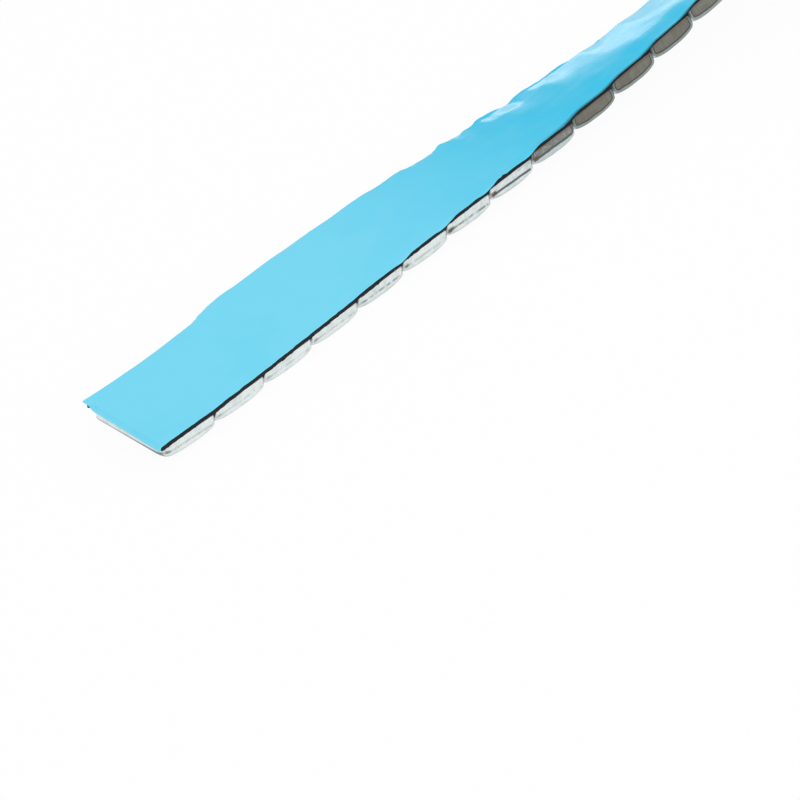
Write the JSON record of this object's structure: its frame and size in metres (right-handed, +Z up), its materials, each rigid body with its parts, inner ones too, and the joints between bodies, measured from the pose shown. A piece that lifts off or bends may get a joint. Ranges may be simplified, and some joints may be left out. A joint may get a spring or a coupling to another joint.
{
  "type": "wheel balance weight",
  "caption": "Stick-on wheel balance weight: zinc-plated steel segments on a black foam tape with a wide blue release liner, bowed and twisted.",
  "frame": {"origin": "on the table under the middle of the strip's footprint, which is where it rests", "axes": "+X along the strip from its near end to its far end, +Z up, away from the table"},
  "size_m": [0.2552, 0.034, 0.0178],
  "materials": {
    "plated_steel": "satin zinc plating with rough cut sides",
    "foam": "matt black closed-cell foam",
    "film": "glossy sky-blue film"
  },
  "bodies": {
    "root": {"segment_01": "plated_steel", "segment_02": "plated_steel", "segment_03": "plated_steel", "segment_04": "plated_steel", "segment_05": "plated_steel", "segment_06": "plated_steel", "segment_07": "plated_steel", "segment_08": "plated_steel", "segment_09": "plated_steel", "segment_10": "plated_steel", "segment_11": "plated_steel", "segment_12": "plated_steel", "segment_13": "plated_steel", "segment_14": "plated_steel", "segment_15": "plated_steel", "segment_16": "plated_steel", "segment_17": "plated_steel", "segment_18": "plated_steel", "segment_19": "plated_steel", "segment_20": "plated_steel", "foam_tape": "foam", "release_liner": "film"}
  },
  "joints": []
}
